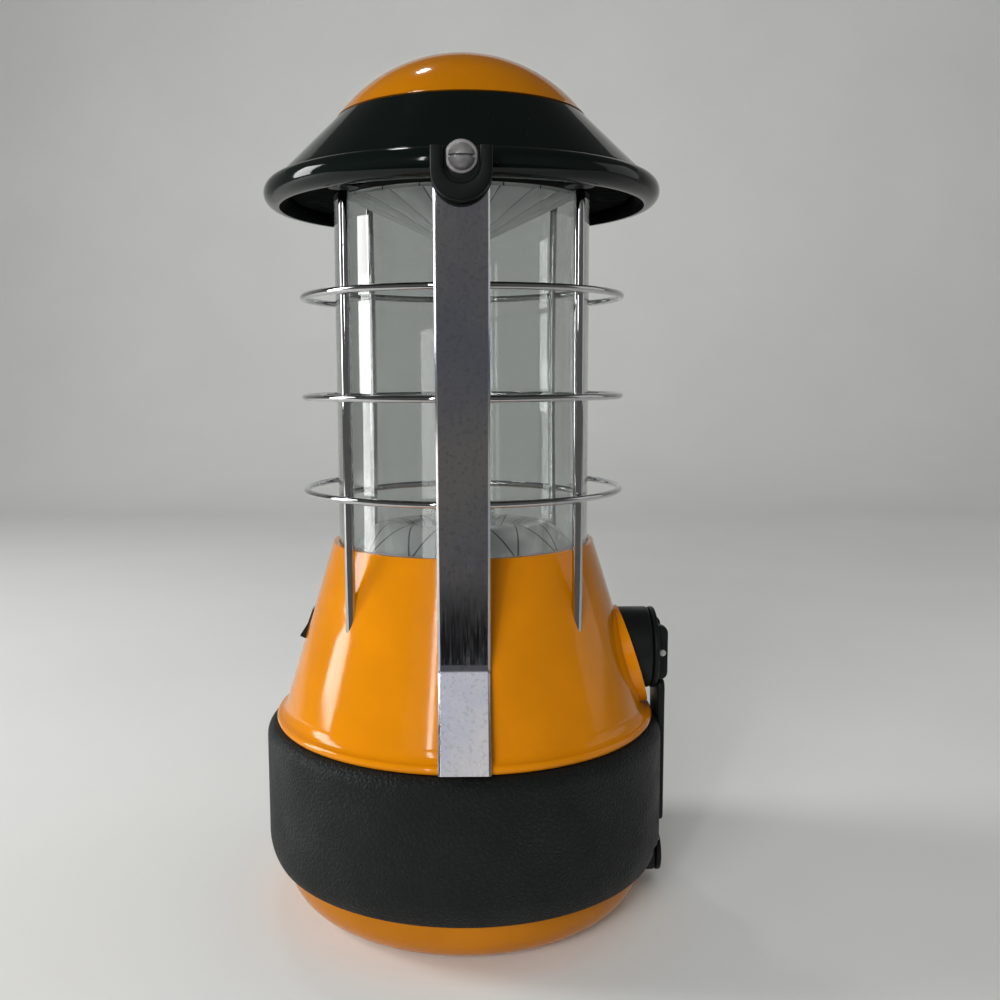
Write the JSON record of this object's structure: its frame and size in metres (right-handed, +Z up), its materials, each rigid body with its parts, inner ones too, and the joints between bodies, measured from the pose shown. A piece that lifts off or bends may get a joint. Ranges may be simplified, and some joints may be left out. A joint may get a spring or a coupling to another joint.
{
  "type": "wind-up camping lantern",
  "caption": "Wind-up camping lantern: dome cap, clear lamp chamber in a wire cage, cone body in a rubber boot, folding crank that drives a generator, rocker switch and swinging steel straps.",
  "frame": {"origin": "centre of the flat underside of the base", "axes": "+Z up along the lantern's axis; -Y towards the front strap; +X towards the crank, -X towards the switch"},
  "size_m": [0.1209, 0.1266, 0.2477],
  "materials": {
    "orange_shell": "smooth glossy orange plastic",
    "cap_black": "smooth black plastic with a soft sheen",
    "black_plastic": "plain black moulding",
    "boot_rubber": "finely grained black rubber",
    "gasket_rubber": "smooth grey-black rubber",
    "polished_steel": "polished bright steel",
    "steel": "plain bright steel",
    "clear_plastic": "clear plastic",
    "reflector_silver": "bright metallised plastic",
    "bulb_glass": "clear glass",
    "white_plastic": "white moulding",
    "gear_plastic": "natural gear plastic",
    "brass": "turned brass",
    "copper_coil": "wound copper",
    "magnet": "dark magnet ceramic",
    "battery_cell": "green sleeve",
    "circuit_board": "green lacquer",
    "lead_sleeve": "red lead sleeve"
  },
  "bodies": {
    "lantern": {"base_dish": "orange_shell", "base_screws": "steel", "rubber_boot": "boot_rubber", "cone_body": "orange_shell", "crank_collar": "black_plastic", "gearbox_outer_plate": "steel", "gearbox_inner_plate": "steel", "gearbox_spacers": "brass", "gear_axles": "steel", "generator_can": "steel", "stator_coils": "copper_coil", "battery_tray": "black_plastic", "battery_cells": "battery_cell", "control_board": "circuit_board", "board_components": "black_plastic", "inner_leads": "lead_sleeve", "switch_housing": "black_plastic", "rocker_pin": "steel", "lamp_deck": "white_plastic", "lens_bottom_gasket": "gasket_rubber", "lens_tube": "clear_plastic", "lens_top_gasket": "gasket_rubber", "trim_ring": "polished_steel", "lower_reflector": "reflector_silver", "lamp_holder": "white_plastic", "lamp_bulb": "bulb_glass", "led_stem": "white_plastic", "cage_rods": "polished_steel", "ring_upper": "polished_steel", "ring_middle": "polished_steel", "ring_lower": "polished_steel", "rod_washers": "black_plastic", "rod_nuts": "steel", "cap_plate": "black_plastic", "cap_screws": "steel", "cap_shade": "cap_black", "dome_cap": "orange_shell", "upper_reflector": "reflector_silver", "pivot_screws": "steel"},
    "crank": {"crank_hub": "black_plastic", "crank_shaft": "steel", "shaft_clip": "steel", "hinge_pin": "steel", "crank_gear": "gear_plastic"},
    "crank_arm": {"arm_core": "steel", "arm_sleeve": "black_plastic", "arm_tip": "black_plastic", "knob_axle": "steel"},
    "knob": {"crank_knob": "black_plastic"},
    "first_gear": {"first_gear": "gear_plastic"},
    "second_gear": {"second_gear": "gear_plastic"},
    "rotor": {"rotor_pinion": "brass", "rotor_shaft": "steel", "rotor_magnet": "magnet"},
    "rocker": {"rocker": "black_plastic"},
    "front_strap": {"front_strap": "polished_steel", "front_strap_end": "black_plastic"},
    "back_strap": {"back_strap": "polished_steel", "back_strap_end": "black_plastic"}
  },
  "joints": [
    {"name": "crank_spin", "type": "hinge", "parent": "lantern", "child": "crank", "pos_m": [0.05635, 0, 0.0742], "axis": [1, 0, 0], "continuous": true},
    {"name": "arm_fold", "type": "hinge", "parent": "crank", "child": "crank_arm", "pos_m": [0.0595, 0, 0.0742], "axis": [0, -1, 0], "range_deg": [0, 180]},
    {"name": "knob_spin", "type": "hinge", "parent": "crank_arm", "child": "knob", "pos_m": [0.057, 0, 0.00905], "axis": [1, 0, 0], "continuous": true},
    {"name": "first_gear_spin", "type": "hinge", "parent": "lantern", "child": "first_gear", "pos_m": [0.031, 0, 0.049], "axis": [1, 0, 0], "continuous": true},
    {"name": "second_gear_spin", "type": "hinge", "parent": "lantern", "child": "second_gear", "pos_m": [0.025, 0.02, 0.03685], "axis": [1, 0, 0], "continuous": true},
    {"name": "rotor_spin", "type": "hinge", "parent": "lantern", "child": "rotor", "pos_m": [0.003, 0, 0.02869], "axis": [1, 0, 0], "continuous": true},
    {"name": "rocker_tilt", "type": "hinge", "parent": "lantern", "child": "rocker", "pos_m": [-0.04295, 0, 0.08096], "axis": [0, -1, 0], "range_deg": [0, 18]},
    {"name": "front_strap_swing", "type": "hinge", "parent": "lantern", "child": "front_strap", "pos_m": [0, -0.058, 0.2085], "axis": [0, 1, 0], "range_deg": [-180, 180]},
    {"name": "back_strap_swing", "type": "hinge", "parent": "lantern", "child": "back_strap", "pos_m": [0, 0.058, 0.2085], "axis": [0, 1, 0], "range_deg": [-180, 180]}
  ],
  "couplings": [
    {"joint": "first_gear_spin", "follows": "crank_spin", "ratio": -3.6667},
    {"joint": "second_gear_spin", "follows": "crank_spin", "ratio": 12.222},
    {"joint": "rotor_spin", "follows": "crank_spin", "ratio": -36.667}
  ]
}
